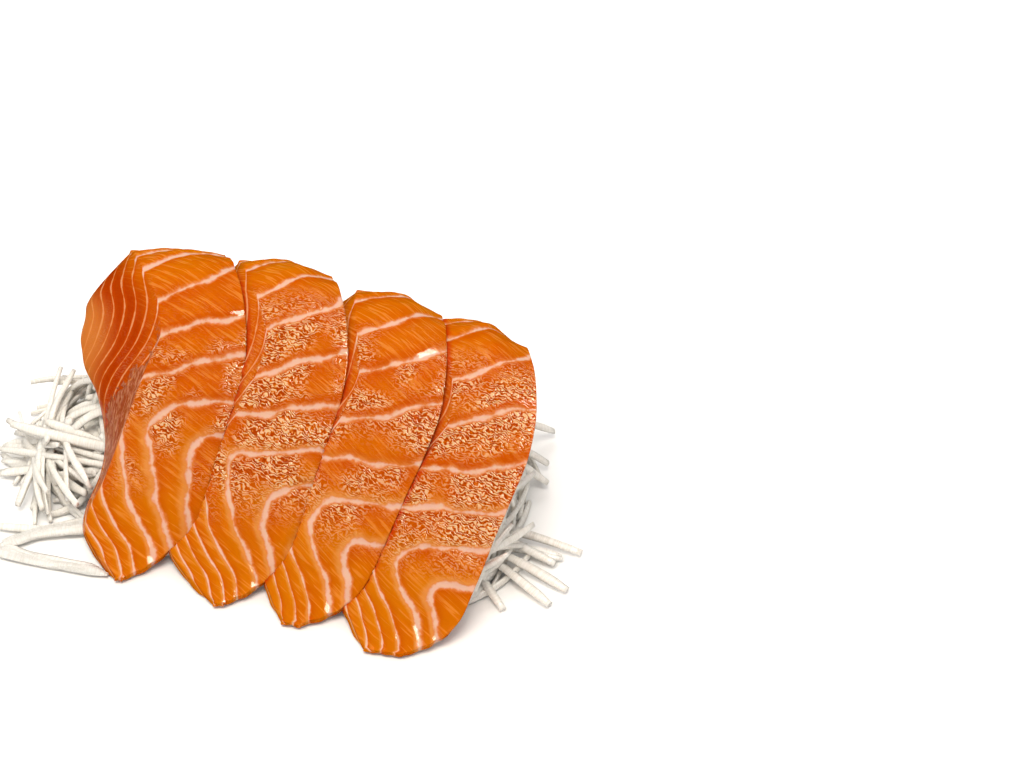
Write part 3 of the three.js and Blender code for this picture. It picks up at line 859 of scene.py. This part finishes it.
STRAND_STEP = 1.3
STRAND_POINTS = 8
REST_SHARE = 0.8
CLEARANCE = 0.4
FIT_SLACK = 0.3
MIN_POINTS = 11
CEILING = (6.0, 11.0)
SHOWN_CEILING = 14.0
LOOSE_CEILING = 24.0
OPEN_FROM = -40.0
OPEN_CEILING = 20.0
MAX_HEIGHT = 100.0
SHOWN_RADIUS = 0.9
TAPER = 0.75
LOOSE_TAPER = 0.3
LOWEST = 0.02
GAP_FILL = 6.0
CORE_DEPTH = 1.5
CORE_RINGS = 16
CORE_SIDES = 72
CORE_TOP = 0.97
CORE_LOWEST = 0.05
GRAIN_STEP = 7.3
TWIST_STEP = 1.7


def undersides(trees, x, y, ceiling):
    """Height of the lowest slice over a place, or the ceiling where there is none."""
    lowest = ceiling if x < OPEN_FROM else max(ceiling, OPEN_CEILING)
    covered = False
    for tree in trees:
        hit = tree.ray_cast(Vector((x, y, -10.0)), Vector((0, 0, 1)))[0]
        if hit is not None:
            lowest = min(lowest, hit.z) if covered else hit.z
            covered = True
    return lowest


def settle(route, trees, radius, ceiling):
    """Lowers a route under the slices and keeps its longest stretch that has room below the ceiling."""
    lids = np.array([undersides(trees, x, y, ceiling + radius + CLEARANCE) for x, y, _ in route])
    lids = lids - radius - CLEARANCE
    route[:, 2] = np.where(lids >= ceiling, route[:, 2], np.minimum(route[:, 2], lids))
    route[:, 2] = np.clip(route[:, 2], radius * REST_SHARE, None)
    for _ in range(3):
        route[1:-1, 2] = (route[:-2, 2] + 2 * route[1:-1, 2] + route[2:, 2]) / 4
    fits = route[:, 2] <= lids + FIT_SLACK
    best, start = (0, 0), 0
    for i in range(len(fits) + 1):
        if i == len(fits) or not fits[i]:
            if i - start > best[1] - best[0]:
                best = (start, i)
            start = i + 1
    return route[best[0]:best[1]]


def even_route(route):
    """The same route with points at even steps."""
    run = np.r_[0, np.cumsum(np.linalg.norm(np.diff(route, axis=0), axis=1))]
    at = np.linspace(0, run[-1], max(STRAND_POINTS, int(run[-1] / STRAND_STEP)))
    route = np.stack([np.interp(at, run, route[:, i]) for i in range(3)], 1)
    for _ in range(2):
        route[1:-1] = (route[:-2] + 2 * route[1:-1] + route[2:]) / 4
    return route


def shred_mesh(trees, limits):
    """All the strands of the bed, as points, faces and grain values, and the number of points."""
    random = seeded(SEED)
    up = (0, 0, 1)
    strands = [(route, up, SHOWN_RADIUS, SHOWN_CEILING, TAPER) for route in bundle_routes(random)]
    for mound in MOUNDS:
        for _ in range(mound["shreds"]):
            strands.append((*shred_route(mound, random), SHOWN_RADIUS, SHOWN_CEILING, TAPER))
    for mound in MOUNDS:
        covered = dict(mound, start=mound["cover_start"], turn=mound["cover_turn"])
        for _ in range(mound["cover"]):
            route, normal = shred_route(covered, random)
            strands.append((route, normal, between(COVER_RADIUS, random), between(CEILING, random), TAPER))
    radii = [item["radius"] for item in LOOSE for _ in range(item["count"])]
    for route, radius in zip(loose_routes(random), radii):
        strands.append((route, up, radius, LOOSE_CEILING, LOOSE_TAPER))
    points, faces, grain = [], [], []
    count = 0
    for number, (route, facing, radius, ceiling, taper) in enumerate(strands):
        route = settle(even_route(route), trees, radius, ceiling)
        inside = ((route > limits[0] + radius) | (np.arange(3) == 2)) & (route < limits[1] - radius)
        route = route[inside.all(1)]
        if len(route) < MIN_POINTS:
            continue
        rows = strand_rows(route, facing, radius, TWIST_STEP * number, taper)
        ends = closed_points(rows)
        ends[:, 2] = np.clip(ends[:, 2], LOWEST, None)
        points.append(ends)
        faces.extend([[i + count for i in face] for face in tube_faces(rows.shape[0], rows.shape[1])])
        run = np.cumsum(np.r_[0, np.linalg.norm(np.diff(route, axis=0), axis=1)])
        around = 2 * radius * np.sin(np.linspace(0, 2 * np.pi, STRAND_SIDES, endpoint=False))
        value = np.stack([np.repeat(run[:, None], STRAND_SIDES, 1), np.repeat(around[None], len(run), 0),
                          np.full((len(run), STRAND_SIDES), GRAIN_STEP * number)], -1)
        grain.append(closed_values(value))
        count += len(ends)
    return points, faces, grain, count


def core_rows(mound, trees):
    """Dome under the strands of a mound, lower than it by the depth of a strand."""
    angle = np.linspace(0, 2 * np.pi, CORE_SIDES, endpoint=False)
    rows = []
    for i in range(CORE_RINGS + 1):
        row = mound_point(mound, angle, i / CORE_RINGS * CORE_TOP * math.pi / 2, -CORE_DEPTH)
        lids = np.array([undersides(trees, x, y, MAX_HEIGHT) for x, y, _ in row]) - CLEARANCE
        row[:, 2] = np.clip(np.minimum(row[:, 2], lids), CORE_LOWEST, None)
        rows.append(row)
    base = rows[0].copy()
    base[:, 2] = LOWEST
    return np.array([base] + rows)


def build_slices(material):
    datas = [slice_data(piece) for piece in SLICES]
    low, high = (np.array(corner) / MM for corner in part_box("slice_1"))
    own = datas[0][0].reshape(-1, 3)
    shift = (low + high) / 2 - (own.min(0) + own.max(0)) / 2
    shift[2] = 0
    trees = []
    for number, (rows, out, values) in enumerate(datas):
        for above in reversed(trees):
            rows = press_under(rows, out, above)
        # The distance to the slice above sets the painted shade where the slice lies close under it
        values["near"] = nearness(rows, trees[-1]) if trees else np.full(rows.shape[:2], NEAR_REACH)
        for label in ("tissue", "sheen"):
            values[label] = np.full(rows.shape[:2], float(SLICES[number][label]))
        trees.append(tree_of(rows))
        name = f"slice_{number + 1}"
        faces = tube_faces(rows.shape[0], rows.shape[1])
        piece = new_mesh(f"salmon_{name}", ((closed_points(rows) + shift) * MM).tolist(), faces)
        for label, value in values.items():
            add_attribute(piece, label, closed_values(value))
        piece.data.materials.append(material)
        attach(piece, "root")
        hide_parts(name)
    return trees, shift


def build_bed(material, trees, shift):
    wider = [slice_data(dict(piece, wide=piece["wide"] + GAP_FILL))[0] for piece in SLICES[:-1]]
    trees = trees + [tree_of(rows) for rows in wider]
    low, high = (np.array(corner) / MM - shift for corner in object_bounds())
    points, faces, grain, count = shred_mesh(trees, (low, high))
    for mound in MOUNDS:
        core = core_rows(mound, trees)
        core_points = closed_points(core)
        faces.extend([[i + count for i in face] for face in tube_faces(core.shape[0], core.shape[1])])
        points.append(core_points)
        grain.append(core_points * np.array([1, 1, 3.0]))
        count += len(core_points)
    piece = new_mesh("daikon_shreds", ((np.concatenate(points) + shift) * MM).tolist(), faces)
    add_attribute(piece, "grain", np.concatenate(grain))
    piece.data.materials.append(material)
    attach(piece, "root")
    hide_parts("daikon_bed")


# Camera, floor and light

CAMERA_AZIMUTH = 22.0
CAMERA_ELEVATION = 42.0
CAMERA_DISTANCE = 0.54
CAMERA_LENS = 100.0
SENSOR_WIDTH = 36.0
TARGET = (0.02507, 0.03781, 0.0)
FLOOR_SIZE = 3.0
LIGHT_TARGET = (0, 0, 0.01)

# The flesh mirrors only the last light, because the floor and the world would make it hazy

LIGHTS = [
    dict(name="overhead", place=(0.11, -0.25, 0.70), size=0.26, power=3, colour=(1, 0.95, 0.86), gloss=False),
    dict(name="front", place=(-0.10, -0.34, 0.62), size=0.22, power=1.5, colour=(1, 0.95, 0.86), gloss=False),
    dict(name="back", place=(-0.25, 0.55, 0.55), size=0.5, power=2, colour=(1, 0.99, 0.98), gloss=False),
    dict(name="gloss", place=(0.30, 0.07, 0.68), size=0.34, power=8, colour=(1, 0.93, 0.80), gloss=True),
]


def aim(thing, target):
    direction = Vector(target) - thing.location
    thing.rotation_euler = direction.to_track_quat("-Z", "Y").to_euler()


def add_camera():
    azimuth, elevation = math.radians(CAMERA_AZIMUTH), math.radians(CAMERA_ELEVATION)
    data = bpy.data.cameras.new("camera")
    data.lens = CAMERA_LENS
    data.sensor_width = SENSOR_WIDTH
    data.sensor_fit = "HORIZONTAL"
    camera = bpy.data.objects.new("camera", data)
    bpy.context.scene.collection.objects.link(camera)
    away = Vector((math.sin(azimuth) * math.cos(elevation), -math.cos(azimuth) * math.cos(elevation),
                   math.sin(elevation)))
    camera.location = Vector(TARGET) + away * CAMERA_DISTANCE
    aim(camera, TARGET)
    bpy.context.scene.camera = camera


def add_light(name, place, size, power, colour, gloss):
    data = bpy.data.lights.new(name, "AREA")
    data.shape = "DISK"
    data.size = size
    data.energy = power
    data.color = colour
    light = bpy.data.objects.new(name, data)
    bpy.context.scene.collection.objects.link(light)
    light.location = place
    light.visible_glossy = gloss
    light.visible_diffuse = not gloss
    aim(light, LIGHT_TARGET)


def add_floor():
    half = FLOOR_SIZE / 2
    floor = new_mesh("floor", [(-half, -half, 0), (half, -half, 0), (half, half, 0), (-half, half, 0)],
                     [(0, 1, 2, 3)], False)
    material = bpy.data.materials.new("floor")
    material.use_nodes = True
    shader = material.node_tree.nodes["Principled BSDF"]
    shader.inputs["Base Color"].default_value = (0.93, 0.925, 0.92, 1)
    shader.inputs["Roughness"].default_value = 0.6
    floor.data.materials.append(material)
    floor.visible_glossy = False
    floor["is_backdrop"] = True


def add_world():
    world = bpy.data.worlds.new("studio")
    world.use_nodes = True
    background = world.node_tree.nodes["Background"]
    background.inputs["Color"].default_value = (1, 0.99, 0.98, 1)
    background.inputs["Strength"].default_value = 0.72
    world.cycles_visibility.glossy = False
    bpy.context.scene.world = world


add_camera()
add_world()
add_floor()
for item in LIGHTS:
    add_light(**item)
slice_trees, frame_shift = build_slices(salmon_material())
build_bed(daikon_material(), slice_trees, frame_shift)

bpy.context.scene.view_settings.view_transform = "Standard"
bpy.context.scene.view_settings.look = "None"

bpy.context.view_layer.update()
